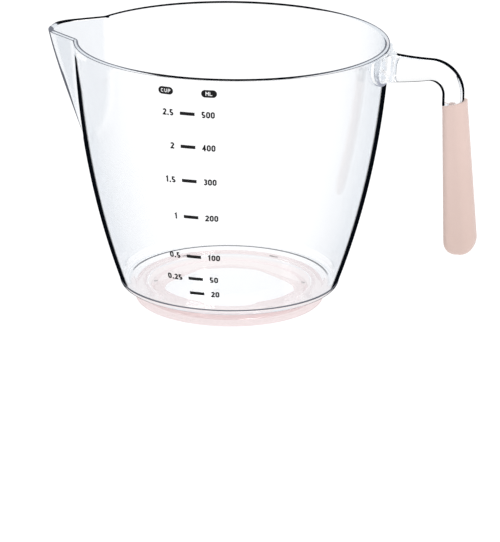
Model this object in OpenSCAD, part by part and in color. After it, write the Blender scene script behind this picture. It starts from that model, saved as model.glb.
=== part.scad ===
// Clear measuring jug with a pouring spout, a hooked handle in a soft grip,
// a soft base ring and a printed scale. Millimetres, +Z up, spout towards -X,
// handle towards +X, scale towards -Y, origin on the table under the jug's axis.

/* [Bowl] */
// Height of the rim above the table
bowl_h = 94.5; // [80:0.5:110]
// Outside diameter at the rim
rim_d = 110; // [100:0.5:120]
// Outside diameter where the wall meets the base
heel_d = 78.2; // [70:0.2:86]
// Height of that edge above the table
heel_z = 7.9; // [7:0.1:11]
// Outside diameter that the wall's curve swells towards
swell_d = 106.6; // [98:0.2:112]
// Height of the swell
swell_z = 48.4; // [35:0.2:60]
// Thickness of the wall
wall_t = 1.7; // [1.2:0.1:2.4]
// Thickness of the floor
floor_t = 2.4; // [1.6:0.1:3.2]
// Radius inside between floor and wall
floor_fillet = 4; // [2:0.5:6]
// Depth that the base slopes down from its outer corner to the ring
base_drop = 1.6; // [0.8:0.1:2]
// Radius of the rounded corner between base and wall
heel_round = 1.5; // [0.8:0.1:2.5]

/* [Spout] */
// Reach of the lip from the jug's axis
lip_reach = 66; // [60:0.5:72]
// Height of the point where the spout grows out of the wall
spout_foot_z = 51.4; // [45:0.5:60]
// Radius that the ridge swells towards between foot and lip
ridge_x = 62.2; // [58:0.2:66]
// Height of that swell
ridge_z = 77.3; // [65:0.5:85]
// Half angle of the mouth, seen from above
mouth_half = 18.6; // [14:0.2:24]
// Height above which the mouth keeps its full width
mouth_z = 72; // [60:1:80]
// Half width of the blunt lip before its corners are rounded
lip_half = 6.4; // [4:0.2:9]
// Rounding of the lip's corners
lip_round = 4.5; // [2:0.5:7]

/* [Handle] */
// Distance from the jug's axis to the middle of the arm's upright
upright_x = 78.8; // [72:0.1:90]
// Height of the top of the arm at its bend
arm_top_z = 92.6; // [86:0.1:94]
// Rise of the arm's top from there to the wall
arm_rise = 1.1; // [0:0.1:1.8]
// Depth of the arm where it leaves the wall
arm_root_h = 9.9; // [7:0.1:11]
// Depth of the arm at its bend
arm_h = 7.1; // [5.5:0.1:9]
// Depth of the arm where it enters the sleeve
arm_end_h = 7.05; // [6:0.05:9]
// Width of the arm across the handle
arm_w = 8.2; // [6:0.1:11]
// Radius of the bend along the middle of the arm
bend_r = 8.1; // [6:0.1:12]
// How far the arm widens to each side where it meets the wall
flare_w = 5; // [0:0.2:8]
// Length of that widening
flare_len = 3.2; // [1:0.2:6]
// Half width of the pad that joins the arm to the wall
pad_half = 14.4; // [9:0.2:20]
// Distance from the rim down to the pad's top edge
pad_drop = 1.05; // [0.9:0.05:2]
// Distance from the rim down to the pad's bottom
pad_h = 12.2; // [10:0.2:20]
// Thickness of the pad
pad_t = 0.8; // [0.4:0.1:1.6]
// Gap left for the joint between pad and wall
pad_gap = 0.05; // [0.02:0.01:0.1]

/* [Grip] */
// Length of the sleeve along the grip
grip_len = 54.7; // [40:0.1:62]
// Length of arm that shows between the bend and the sleeve
bare_len = 2.8; // [1.5:0.1:8]
// Offset of the sleeve outwards, which sets it flush with the arm inside
sleeve_shift = 0.7; // [0:0.05:1]
// Depth of the sleeve at its top
grip_top_h = 8.2; // [7.5:0.1:11]
// Depth of the sleeve at its bottom
grip_end_h = 11.25; // [9:0.05:14]
// Width of the sleeve at its top
grip_top_w = 9.2; // [8:0.1:12]
// Width of the sleeve at its bottom
grip_end_w = 11; // [9:0.1:16]
// Height over which the sleeve's lower end rounds off on the bowl's side
round_in = 5; // [4:0.1:8]
// Height over which it rounds off on the outer side
round_out = 7; // [4:0.1:9]
// Place of the tip across the sleeve's depth, as a share of it from the bowl's side
tip_place = 0.38; // [0.25:0.01:0.75]
// Thickness of the sleeve's closed end
tip_t = 3; // [1.5:0.1:6]
// Lean of the grip outwards, in degrees
grip_lean = 4.1; // [0:0.1:8]
// Thickness of the sleeve
sleeve_t = 1.3; // [0.8:0.1:2]
// Slant of the sleeve's top edge, in degrees
top_slant = 14; // [0:1:25]
// Clearance between sleeve and tang
sleeve_gap = 0.05; // [0.02:0.01:0.2]

/* [Base ring] */
// Outside diameter of the ring
ring_d = 67; // [60:0.2:72]
// Diameter of the hole in the ring
ring_hole_d = 50; // [40:0.2:54]
// Height of the ring
ring_h = 4.4; // [3.6:0.1:6]
// Middle diameter of the groove in the ring's top
groove_d = 60; // [54:0.2:62]
// Width of the groove
groove_w = 2.8; // [1.6:0.1:3.4]
// Depth of the groove
groove_depth = 2.6; // [1.5:0.1:3]
// Clearance round the rib in the groove
rib_gap = 0.1; // [0.05:0.01:0.2]
// Height of the step round the ring's outside
step_z = 1.7; // [1.2:0.1:3]
// Depth of that step
step_in = 0.35; // [0.1:0.05:1]
// Radius of the ring's outer bottom edge
ring_round = 1; // [0.4:0.1:1.2]

/* [Printed scale] */
// Length of a bar
bar_len = 5.1; // [3:0.1:8]
// Height of a bar
bar_h = 1.15; // [0.5:0.05:1.4]
// Height of a digit
digit_h = 2.25; // [1.5:0.05:3]
// Width of a digit
digit_w = 1.38; // [1:0.01:2]
// Thickness of a digit's stroke
stroke_w = 0.5; // [0.25:0.01:0.55]
// Space between digits
digit_gap = 0.18; // [0.1:0.01:0.4]
// Distance from the middle of the bars to the numbers
column_x = 4.85; // [3.5:0.05:8]
// Distance from the rim down to the middle of the two unit badges
badge_drop = 5.1; // [3.5:0.1:8]
// Length of a badge
badge_len = 5.3; // [4.6:0.1:7]
// Height of a badge
badge_h = 2.6; // [2:0.1:3]
// Turn of the scale's middle from the front towards the spout, in degrees
scale_turn = 0.3; // [0:0.1:10]
// Thickness of the print
ink_t = 0.08; // [0.05:0.01:0.15]
// Millilitres added to each mark before its height is worked out
scale_offset = 15.6; // [0:0.2:20]

/* [Hidden] */

$fn = 96;
clear_colour = [0.86, 0.92, 0.95, 0.45];
pink_colour = [0.90, 0.80, 0.78];
ink_colour = [0.06, 0.06, 0.07];

rim_r = rim_d / 2;
heel_r = heel_d / 2;
rim_round = wall_t / 2;
// A rim rounded to a full point would have no top face, so a narrow flat stays
rim_flat = 0.97;
rim_z = bowl_h - rim_round;
ring_r = ring_d / 2;
floor_under_z = ring_h;
floor_z = floor_under_z + floor_t;
base_corner_z = floor_under_z + base_drop;
base_corner_r = heel_r - heel_round;
wall_steps = 18;
rim_steps = 4;

// Quadratic curve through a, drawn towards b, ending at c
function curve(a, b, c, t) = (1 - t) * (1 - t) * a + 2 * t * (1 - t) * b + t * t * c;

// The outer wall from heel to rim as [height, radius] pairs
wall_curve = [for (i = [0:wall_steps]) let (t = i / wall_steps)
    [curve(heel_z, swell_z, bowl_h, t), curve(heel_r, swell_d / 2, rim_r, t)]];
function wall_r(z) = lookup(z, wall_curve);
function wall_slope(z) = atan((wall_r(z + 0.5) - wall_r(z - 0.5)));

// How far each face steps back as the rim rounds over
function rim_inset(z) = z <= rim_z ? 0
    : rim_round * (1 - sqrt(1 - pow(rim_flat * (z - rim_z) / rim_round, 2)));
rim_levels = [for (i = [0:rim_steps]) rim_z + rim_round * sin(90 * i / rim_steps)];

// Horizontal thickness of the sloping wall
function wall_t_at(z) = wall_t / cos(wall_slope(min(z, bowl_h - 1)));
function bowl_out(z) = wall_r(z) - rim_inset(z);
function bowl_in(z) = wall_r(z) - wall_t_at(z) + rim_inset(z);

wall_levels = [for (p = wall_curve) if (p[0] < rim_z - 0.5) p[0]];
inner_levels = [for (z = wall_levels) if (z > floor_z + floor_fillet + 1) z];
fillet_r = bowl_in(floor_z + floor_fillet) - floor_fillet;

bowl_outer_profile = concat(
    [[0, floor_under_z], [ring_r, floor_under_z], [base_corner_r, base_corner_z]],
    [for (a = [20:20:80]) [base_corner_r + (heel_r - base_corner_r) * sin(a),
                           base_corner_z + (heel_z - base_corner_z) * (1 - cos(a))]],
    [for (z = wall_levels) [bowl_out(z), z]],
    [for (z = rim_levels) [bowl_out(z), z]]);
bowl_inner_profile = concat(
    [for (i = [rim_steps:-1:0]) [bowl_in(rim_levels[i]), rim_levels[i]]],
    [for (i = [len(inner_levels) - 1:-1:0]) [bowl_in(inner_levels[i]), inner_levels[i]]],
    [for (a = [90:-15:0]) [fillet_r + floor_fillet * sin(a),
                           floor_z + floor_fillet * (1 - cos(a))]],
    [[0, floor_z]]);

module bowl_shell() {
    rotate_extrude() polygon(concat(bowl_outer_profile, bowl_inner_profile));
}

module bowl_space() {
    over = 1;
    rotate_extrude() polygon(concat([[0, bowl_h + over], [bowl_in(bowl_h), bowl_h + over]],
                                    bowl_inner_profile));
}

// Rib under the floor that the base ring is pushed onto
rib_r_in = (groove_d - groove_w) / 2 + rib_gap;
rib_r_out = (groove_d + groove_w) / 2 - rib_gap;
rib_bottom_z = ring_h - groove_depth + rib_gap;

module rib() {
    rotate_extrude() polygon([[rib_r_in, floor_under_z + floor_t / 2],
        [rib_r_in, rib_bottom_z], [rib_r_out, rib_bottom_z],
        [rib_r_out, floor_under_z + floor_t / 2]]);
}

// The smaller of two lengths, with the change from one to the other blended over k
function smooth_min(a, b, k) = let (h = max(k - abs(a - b), 0) / k) min(a, b) - h * h * k / 4;

// Ridge of the spout: distance from the axis at height z
ridge_steps = 16;
ridge_curve = [for (i = [0:ridge_steps]) let (t = i / ridge_steps)
    [curve(spout_foot_z, ridge_z, bowl_h, t),
     curve(wall_r(spout_foot_z), ridge_x, lip_reach, t)]];
ridge_foot_slope = (ridge_x - wall_r(spout_foot_z)) / (ridge_z - spout_foot_z);
function ridge_r(z) = z < spout_foot_z
    ? wall_r(spout_foot_z) - (spout_foot_z - z) * ridge_foot_slope : lookup(z, ridge_curve);

// Half angle of the mouth at height z: full at the top, closing in a U at the foot
least_mouth = 0.02;
function mouth_at(z) = z >= mouth_z ? mouth_half
    : mouth_half * sqrt(max(least_mouth, 1 - pow((mouth_z - z) / (mouth_z - spout_foot_z), 2)));

// Radius of the spout's wall at angle a from its ridge, moved inwards by inset. The
// lip narrows with the mouth, and the flanks run straight from the mouth to the lip
lip_share = 0.6;
least_reach = 0.5;
function spout_r(a, z, inset) = let (
    kx = wall_r(z) * cos(mouth_at(z)), ky = wall_r(z) * sin(mouth_at(z)),
    nose = ridge_r(z), half = min(lip_half, ky * lip_share),
    steep = (ky - half) / max(nose - kx, least_reach),
    flank = (ky + kx * steep - inset * sqrt(1 + steep * steep)) / (sin(abs(a)) + steep * cos(a)))
    smooth_min((nose - inset) / cos(a), flank, lip_round);

spout_span = mouth_half + 3.4;
spout_turns = 22;
spout_angles = [for (i = [0:spout_turns]) spout_span * (2 * i / spout_turns - 1)];
spout_low = spout_foot_z - 5;
spout_tiers = 12;
spout_levels = concat(
    [for (i = [0:spout_tiers - 1]) spout_low + (rim_z - spout_low) * i / spout_tiers], rim_levels);

// One level of the spout's solid: its wall where that stands out of the bowl,
// otherwise a line just inside the bowl's own wall, closed nearer the axis
core_share = 0.6;
function spout_ring(z, inset, base_r, z_out) = concat(
    [for (a = spout_angles) let (r = max(spout_r(a, z, inset), base_r))
        [-r * cos(a), -r * sin(a), z_out]],
    [[-base_r * core_share, 0, z_out]]);

function reversed(p) = [for (i = [len(p) - 1:-1:0]) p[i]];

// Closed solid through a stack of rings with equal point counts
module stack_of(rings) {
    n = len(rings[0]);
    m = len(rings);
    polyhedron(points = [for (r = rings) each r],
        faces = concat([[for (i = [0:n - 1]) i]],
            [for (j = [0:m - 2], i = [0:n - 1]) each let (a = j * n + i, b = j * n + (i + 1) % n)
                [[a, a + n, b], [b, a + n, b + n]]],
            [[for (i = [n - 1:-1:0]) (m - 1) * n + i]]));
}

// The spout's solids reach this far into the bowl's wall and space
sink = 0.4;
module spout_block() {
    stack_of([for (z = spout_levels) spout_ring(z, rim_inset(z), bowl_out(z) - sink, z)]);
}

module spout_space() {
    stack_of(concat(
        [for (z = spout_levels) spout_ring(z, wall_t - rim_inset(z), bowl_in(z) - sink, z)],
        [spout_ring(bowl_h, wall_t - rim_inset(bowl_h), bowl_in(bowl_h) - sink, bowl_h + 1)]));
}

module jug_body() {
    color(clear_colour) {
        difference() {
            union() {
                bowl_shell();
                difference() {
                    spout_block();
                    bowl_space();
                }
                rib();
            }
            spout_space();
        }
    }
}

// Section of the arm and grip: a rounded rectangle, h deep and w wide, whose
// inner corners are tighter than its outer ones
corner_steps = 5;
function corner(cx, cy, r, from) = [for (i = [0:corner_steps])
    let (a = from + 90 * i / corner_steps) [cx + r * cos(a), cy + r * sin(a)]];
function section(h, w, r_in, r_out) = concat(
    corner(h / 2 - r_out, w / 2 - r_out, r_out, 0), corner(-h / 2 + r_in, w / 2 - r_in, r_in, 90),
    corner(-h / 2 + r_in, -w / 2 + r_in, r_in, 180), corner(h / 2 - r_out, -w / 2 + r_out, r_out, 270));

// A section set across the handle's plane at [x, z], its depth along angle a
function placed(s, x, z, a) = [for (p = s) [x + p[0] * cos(a), p[1], z + p[0] * sin(a)]];

arm_in_r = 2.2;
arm_out_r = 3.1;
function arm_section(h, w) = section(h, w, arm_in_r, arm_out_r);

// Side view of the arm: its top rises and its depth grows from bend to wall
root_x = rim_r + pad_t;
bend_x = upright_x - bend_r;
arm_z = arm_top_z - arm_h / 2;
bend_z = arm_z - bend_r;
function to_root(x) = (bend_x - x) / (bend_x - root_x);
function arm_depth(x) = arm_h + (arm_root_h - arm_h) * to_root(x);
function arm_mid(x) = arm_top_z + arm_rise * pow(to_root(x), 2) - arm_depth(x) / 2;
flare_power = 2.6;
function flare_at(d) = d >= flare_len ? 0
    : flare_w * pow(1 - max(d, 0) / flare_len, flare_power);

// Distances from the pad at which the level part gets a section, the first in the wall
level_steps = 5;
flare_steps = 6;
behind_pad = 2.6;
level_at = concat([-behind_pad], [for (i = [0:flare_steps]) flare_len * i / flare_steps],
    [for (i = [1:level_steps]) flare_len + (bend_x - root_x - flare_len) * i / level_steps]);
bend_steps = 9;
// The arm's full section ends this far above the sleeve's slanted top, where the tang takes over
shoulder = 0.05;
grip_top_z = bend_z - bare_len;
grip_bottom_z = grip_top_z - grip_len;
function grip_axis_x(z) = upright_x + sleeve_shift + (grip_top_z - z) * tan(grip_lean);

arm_end_z = grip_top_z - sleeve_shift * tan(top_slant) + shoulder;
arm_rings = concat(
    [for (d = level_at) let (x = root_x + d)
        placed(arm_section(arm_depth(x), arm_w + 2 * flare_at(d)), x, arm_mid(x), 90)],
    [for (i = [1:bend_steps]) let (a = 90 * i / bend_steps)
        placed(arm_section(arm_h + (arm_end_h - arm_h) * i / bend_steps, arm_w),
               bend_x + bend_r * sin(a), bend_z + bend_r * cos(a), 90 - a)],
    [placed(arm_section(arm_end_h, arm_w), upright_x, arm_end_z, top_slant)]);

// The grip swells downwards and ends in a round
function grip_h(z) = grip_top_h + (grip_end_h - grip_top_h) * (grip_top_z - z) / grip_len;
function grip_w(z) = grip_top_w + (grip_end_w - grip_top_w) * (grip_top_z - z) / grip_len;
least_end = 0.03;
function end_share(z, bottom, r) = z >= bottom + r ? 1
    : sqrt(max(least_end, 1 - pow((bottom + r - z) / r, 2)));
function grip_levels(top, bottom, r) = concat(
    [for (i = [0:6]) top + (bottom + r - top) * i / 6],
    [for (a = [15:10:75]) bottom + r * (1 - sin(a))], [bottom + r * (1 - sin(82)), bottom]);

// Solid of the grip between two heights, inset from the sleeve's outside. Below, its inner and
// outer sides draw in towards the tip, each over its own height
grip_in_r = 2.4;
grip_out_r = 4;
function fitted(r, h, w) = min(r, 0.95 * min(h, w) / 2);
function grip_stack(top, bottom, inset) = [for (z = grip_levels(top, bottom, round_out - inset))
    let (full = grip_h(z) - 2 * inset, s_in = end_share(z, bottom, round_in - inset),
         s_out = end_share(z, bottom, round_out - inset), tip = (tip_place - 0.5) * full,
         lo = tip - (tip + full / 2) * s_in, hi = tip + (full / 2 - tip) * s_out,
         h = hi - lo, w = (grip_w(z) - 2 * inset) * (s_in + s_out) / 2)
    placed(section(h, w, fitted(grip_in_r - inset / 2, h, w), fitted(grip_out_r - inset / 2, h, w)),
           grip_axis_x(z) + (lo + hi) / 2, z, 0)];

// The tang starts inside the arm, above its slanted end
tang_root = 1.5;
tang_bottom = grip_bottom_z + tip_t;
tang_inset = sleeve_t + sleeve_gap;
tang_rings = grip_stack(grip_top_z + tang_root, tang_bottom, tang_inset);

// Outline of the pad on the wall: straight sides, a half oval below
pad_oval = 8;
pad_top_z = bowl_h - pad_drop;
pad_mid_z = bowl_h - pad_h + pad_oval;
pad_outline = concat([[pad_half, pad_top_z], [pad_half, pad_mid_z]],
    [for (a = [-10:-10:-170]) [pad_half * cos(a), pad_mid_z + pad_oval * sin(a)]],
    [[-pad_half, pad_mid_z], [-pad_half, pad_top_z]]);

// Skin of even thickness that hugs the outer wall between two heights
function skin_levels(lo, hi) = concat([lo],
    [for (p = wall_curve) if (p[0] > lo + 0.5 && p[0] < hi - 0.5) p[0]], [hi]);
module wall_skin(lo, hi, gap, t) {
    zs = skin_levels(lo, hi);
    rotate_extrude() polygon(concat(
        [for (z = zs) [wall_r(z) + gap, z]],
        [for (i = [len(zs) - 1:-1:0]) [wall_r(zs[i]) + gap + t, zs[i]]]));
}

// The pad lies on the wall, and the arm ends halfway through the pad's thickness
module handle_arm() {
    below_pad = 1;
    trim = arm_root_h;
    color(clear_colour) {
        intersection() {
            wall_skin(bowl_h - pad_h - below_pad, pad_top_z, pad_gap, pad_t);
            rotate([90, 0, 90]) linear_extrude(rim_r + pad_t) polygon(pad_outline);
        }
        difference() {
            stack_of(reversed(arm_rings));
            wall_skin(arm_z - trim, bowl_h, -trim, trim + pad_gap + pad_t / 2);
        }
        stack_of(reversed(tang_rings));
    }
}

// The sleeve is made too tall, hollowed, and cut off at its slanted top edge
module grip_sleeve() {
    spare = 3;
    cut = 4 * grip_top_h;
    out_rings = grip_stack(grip_top_z + spare, grip_bottom_z, 0);
    bore_rings = grip_stack(grip_top_z + spare + 1, tang_bottom - sleeve_gap, sleeve_t);
    color(pink_colour) {
        difference() {
            stack_of(reversed(out_rings));
            stack_of(reversed(bore_rings));
            translate([upright_x + sleeve_shift, 0, grip_top_z]) rotate([0, -top_slant, 0])
                translate([-cut / 2, -cut / 2, 0]) cube(cut);
        }
    }
}

module base_ring() {
    groove_in = (groove_d - groove_w) / 2;
    groove_out = (groove_d + groove_w) / 2;
    hole_r = ring_hole_d / 2;
    color(pink_colour) {
        rotate_extrude() polygon(concat(
            [[hole_r, 0]],
            [for (a = [0:30:90]) [ring_r - ring_round * (1 - sin(a)), ring_round * (1 - cos(a))]],
            [[ring_r, step_z], [ring_r - step_in, step_z + step_in], [ring_r - step_in, ring_h],
             [groove_out, ring_h], [groove_out, ring_h - groove_depth],
             [groove_in, ring_h - groove_depth], [groove_in, ring_h], [hole_r, ring_h]]));
    }
}

// Volume held below height z, summed in thin slices of the bowl
fill_slices = 60;
slice = (bowl_h - floor_z) / fill_slices;
function fill_r(z) = z < floor_z + floor_fillet
    ? fillet_r + sqrt(max(0, floor_fillet * floor_fillet - pow(floor_fillet - (z - floor_z), 2)))
    : bowl_in(min(z, rim_z));
function fill_table(i, v) = i > fill_slices ? [] : let (
    z = floor_z + (i - 0.5) * slice, w = v + PI * pow(fill_r(z), 2) * slice)
    concat([[w, floor_z + i * slice]], fill_table(i + 1, w));
fill_heights = concat([[0, floor_z]], fill_table(1, 0));
function fill_z(ml) = lookup((ml + scale_offset) * 1000, fill_heights);

marks = [[500, "500", "2.5"], [400, "400", "2"], [300, "300", "1.5"], [200, "200", "1"],
         [100, "100", "0.5"], [50, "50", "0.25"], [20, "20", ""]];

// Lays a flat drawing on the wall at height z, x round from the scale's middle
ink_gap = 0.02;
badge_z = bowl_h - badge_drop;
module on_wall(z, x) {
    rotate([0, 0, x / wall_r(z) * 180 / PI - scale_turn]) translate([0, -wall_r(z), z])
        rotate([90 + wall_slope(z), 0, 0]) translate([0, 0, ink_gap]) linear_extrude(ink_t) children();
}

module scale_bars() {
    color(ink_colour) for (m = marks) let (z = fill_z(m[0]), half = bar_len / 2 / wall_r(z) * 180 / PI)
        rotate([0, 0, -90 - half - scale_turn]) rotate_extrude(angle = 2 * half)
            polygon([[wall_r(z - bar_h / 2) + ink_gap, z - bar_h / 2],
                     [wall_r(z - bar_h / 2) + ink_gap + ink_t, z - bar_h / 2],
                     [wall_r(z + bar_h / 2) + ink_gap + ink_t, z + bar_h / 2],
                     [wall_r(z + bar_h / 2) + ink_gap, z + bar_h / 2]]);
}

// Drawing a stroke: a path of points becomes a band of even width
function unit(v) = v / norm(v);
function side(a, b) = let (d = unit(b - a)) [-d[1], d[0]];
function mitre(p, i, closed) = let (n = len(p),
    before = closed || i > 0 ? side(p[(i + n - 1) % n], p[i]) : side(p[i], p[i + 1]),
    after = closed || i < n - 1 ? side(p[i], p[(i + 1) % n]) : before,
    m = unit(before + after)) m / (m * after);
function shifted(p, d, closed) = [for (i = [0:len(p) - 1]) p[i] + d * mitre(p, i, closed)];
module stroke(p, w) {
    polygon(concat(shifted(p, w / 2, false), reversed(shifted(p, -w / 2, false))));
}
module loop(p, w) {
    difference() {
        polygon(shifted(p, -w / 2, true));
        polygon(shifted(p, w / 2, true));
    }
}
function arc(cx, cy, rx, ry, from, to, n) = [for (i = [0:n])
    let (a = from + (to - from) * i / n) [cx + rx * cos(a), cy + ry * sin(a)]];

// Digits drawn in a box w wide and h high, centred on its middle
module digit(c, w, h, t) {
    x = (w - t) / 2;
    y = (h - t) / 2;
    if (c == "0") loop(concat(arc(0, y - x, x, x, 0, 180, 8), arc(0, x - y, x, x, 180, 360, 8)), t);
    if (c == "1") stroke([[-0.75 * x, y - 0.6 * x], [0.2 * x, y], [0.2 * x, -y - t / 2]], t);
    if (c == "2") stroke(concat(arc(0, y - x, x, x, 165, -25, 8),
                                [[-0.9 * x, -y], [x + t / 2, -y]]), t);
    if (c == "3") {
        stroke(arc(0, y - 0.86 * x, 0.9 * x, 0.86 * x, 150, -100, 8), t);
        stroke(arc(0, x * 0.98 - y, x, 0.98 * x, 85, -150, 8), t);
    }
    if (c == "4") {
        stroke([[0.45 * x, -y - t / 2], [0.45 * x, y + t / 2]], t);
        stroke([[0.5 * x, y], [-x, -0.45 * y], [x + t / 2, -0.45 * y]], t * 0.9);
    }
    if (c == "5") stroke(concat([[x * 0.85, y], [-0.8 * x, y], [-0.86 * x, 0.12 * y]],
                                arc(0, x * 0.92 - y, x, 0.92 * x, 100, -150, 9)), t);
    if (c == ".") translate([0, t / 2 - h / 2]) square(t * 1.05, center = true);
}
function glyph_w(c) = c == "." ? stroke_w * 1.5 : c == "1" ? digit_w * 0.8 : digit_w;
function text_w(s, i = 0) = i >= len(s) ? -digit_gap : glyph_w(s[i]) + digit_gap + text_w(s, i + 1);

// Writes a number along the wall, its left end at x
module number(s, z, x, i = 0) {
    if (i < len(s)) {
        on_wall(z, x + glyph_w(s[i]) / 2) digit(s[i], digit_w, digit_h, stroke_w);
        number(s, z, x + glyph_w(s[i]) + digit_gap, i + 1);
    }
}

module millilitre_numbers() {
    color(ink_colour) for (m = marks) number(m[1], fill_z(m[0]), column_x);
}

module cup_numbers() {
    color(ink_colour) for (m = marks) if (len(m[2]) > 0)
        number(m[2], fill_z(m[0]), -column_x - text_w(m[2]));
}

// Letters for the unit badges, in a box w wide and h high
module letter(c, w, h, t) {
    x = (w - t) / 2;
    y = (h - t) / 2;
    if (c == "C") stroke(concat(arc(0, y - x, x, x, 20, 180, 6), arc(0, x - y, x, x, 180, 340, 6)), t);
    if (c == "U") stroke(concat([[-x, y + t / 2]], arc(0, x - y, x, x, 180, 360, 8),
                                [[x, y + t / 2]]), t);
    if (c == "P") {
        stroke([[-x, -y - t / 2], [-x, y + t / 2]], t);
        stroke(concat([[-x, y]], arc(x * 0.2, y * 0.45, x * 0.8, y * 0.55, 90, -90, 6),
                      [[-x, -0.1 * y]]), t);
    }
    if (c == "M") stroke([[-1.3 * x, -y - t / 2], [-1.3 * x, y], [0, 0], [1.3 * x, y],
                          [1.3 * x, -y - t / 2]], t);
    if (c == "L") stroke([[-x, y + t / 2], [-x, -y], [x + t / 2, -y]], t);
}

// A pill with the word left out of it, cut through the wall's skin so that it follows the curve
module badge(word, x) {
    letter_h = badge_h * 0.5;
    letter_w = letter_h * 0.72;
    pitch = letter_w * 1.32;
    pen = letter_h * 0.19;
    turn = x / wall_r(badge_z) * 180 / PI - scale_turn;
    rotate([0, 0, turn]) translate([0, -wall_r(badge_z), badge_z])
        rotate([90 + wall_slope(badge_z), 0, 0]) linear_extrude(2, center = true) difference() {
        union() {
            square([badge_len - badge_h, badge_h], center = true);
            for (s = [-1, 1]) translate([s * (badge_len - badge_h) / 2, 0]) circle(d = badge_h);
        }
        for (i = [0:len(word) - 1]) translate([(i - (len(word) - 1) / 2) * pitch, 0])
            letter(word[i], letter_w, letter_h, pen);
    }
}

module unit_badges() {
    color(ink_colour) intersection() {
        wall_skin(badge_z - badge_h, badge_z + badge_h, ink_gap, ink_t);
        union() {
            badge("CUP", -column_x - badge_len / 2);
            badge("ML", column_x + badge_len / 2);
        }
    }
}

jug_body();
handle_arm();
grip_sleeve();
base_ring();
scale_bars();
millilitre_numbers();
cup_numbers();
unit_badges();
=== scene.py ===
import math

import bmesh
import bpy
from mathutils import Matrix, Vector


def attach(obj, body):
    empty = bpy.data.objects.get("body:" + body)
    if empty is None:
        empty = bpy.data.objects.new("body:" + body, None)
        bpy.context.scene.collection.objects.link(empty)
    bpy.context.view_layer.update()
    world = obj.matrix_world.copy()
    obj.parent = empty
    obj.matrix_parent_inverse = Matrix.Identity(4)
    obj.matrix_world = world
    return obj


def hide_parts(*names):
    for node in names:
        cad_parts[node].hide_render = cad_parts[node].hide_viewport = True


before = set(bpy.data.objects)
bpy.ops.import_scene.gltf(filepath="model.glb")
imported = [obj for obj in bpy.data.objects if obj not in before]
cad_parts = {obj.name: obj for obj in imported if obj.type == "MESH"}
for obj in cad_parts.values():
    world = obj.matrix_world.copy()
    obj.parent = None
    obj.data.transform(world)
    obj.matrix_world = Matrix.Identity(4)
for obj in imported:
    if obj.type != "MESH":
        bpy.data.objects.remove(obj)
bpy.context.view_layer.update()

# The camera stands a metre in front of the jug, a little to the handle's side and above it, where
# the photograph was taken. The image is 500 by 542, and the jug fills its upper half.
# AIM is the point that the camera's turn is worked out from, and AIM_PIXEL its place in the image.
AIM = Vector((0, 0, 0.04725))
AZIMUTH, ELEVATION, ROLL = math.radians(15.2), math.radians(16.97), math.radians(0.538)
DISTANCE, FOCAL_PIXELS, IMAGE_W, IMAGE_H = 1.02, 2893.9, 500, 542
AIM_PIXEL = (230.5, 168.4)
SENSOR = 36.0

toward = Vector((math.sin(AZIMUTH) * math.cos(ELEVATION),
                 -math.cos(AZIMUTH) * math.cos(ELEVATION), math.sin(ELEVATION)))
right = Vector((math.cos(AZIMUTH), math.sin(AZIMUTH), 0))
up = toward.cross(right)
aim_ray = Vector(((AIM_PIXEL[0] - IMAGE_W / 2) / FOCAL_PIXELS,
                  (IMAGE_H / 2 - AIM_PIXEL[1]) / FOCAL_PIXELS, -1))
level = Matrix((right, up, toward)).transposed()
roll = Matrix.Rotation(ROLL, 3, "Z")
swing = aim_ray.rotation_difference(Vector((0, 0, -1))).to_matrix()
camera_data = bpy.data.cameras.new("camera")
camera_data.sensor_width = SENSOR
camera_data.sensor_fit = "AUTO"
camera_data.lens = FOCAL_PIXELS * SENSOR / IMAGE_H
camera_data.clip_end = 50
camera = bpy.data.objects.new("camera", camera_data)
bpy.context.collection.objects.link(camera)
camera.matrix_world = (Matrix.Translation(AIM + DISTANCE * toward)
                       @ (level @ roll @ swing).to_4x4())
bpy.context.scene.camera = camera

# The bowl with its pouring spout is one clear injection moulding in a stiff, glass-like plastic.
# Its wall is a curve turned about the axis, and the spout is drawn out of that wall at the rim;
# a rib under the floor carries the soft ring.
WALL = dict(heel_radius=0.0391, heel_height=0.0079, swell_radius=0.0533, swell_height=0.0484,
            rim_radius=0.055, rim_height=0.0945, wall=0.0017)
SPOUT = dict(lip_reach=0.066, foot_height=0.0514, ridge_radius=0.0622, ridge_height=0.0773,
             mouth_angle=math.radians(18.6), mouth_height=0.072, lip_half_width=0.0064,
             lip_rounding=0.0045, blend=0.0006)
# Limits that keep the spout's outline sound where it fades out into the wall
LIP_SHARE, LEAST_REACH, LEAST_MOUTH, FADE = 0.6, 0.0005, 0.02, 0.25
SPAN, WIDEST = math.radians(22), math.radians(40)
COLUMNS, SLOPE_STEP, WELD_GAP, SHARP_ANGLE = 361, 0.0003, 0.00001, math.radians(50)


class Field:
    """A number that varies over a piece, built up node by node in a tree."""

    def __init__(self, tree, socket):
        self.tree, self.socket = tree, socket

    def math(self, operation, *values, swap=False):
        node = self.tree.nodes.new("ShaderNodeMath")
        node.operation = operation
        values = (self, *values)
        for place, value in zip(node.inputs, values[::-1] if swap else values):
            if isinstance(value, Field):
                self.tree.links.new(value.socket, place)
            else:
                place.default_value = value
        return Field(self.tree, node.outputs[0])

    def __add__(self, other): return self.math("ADD", other)
    def __sub__(self, other): return self.math("SUBTRACT", other)
    def __mul__(self, other): return self.math("MULTIPLY", other)
    def __truediv__(self, other): return self.math("DIVIDE", other)
    def __rsub__(self, other): return self.math("SUBTRACT", other, swap=True)
    def __rtruediv__(self, other): return self.math("DIVIDE", other, swap=True)
    def __neg__(self): return self * -1
    __radd__, __rmul__ = __add__, __mul__


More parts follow.
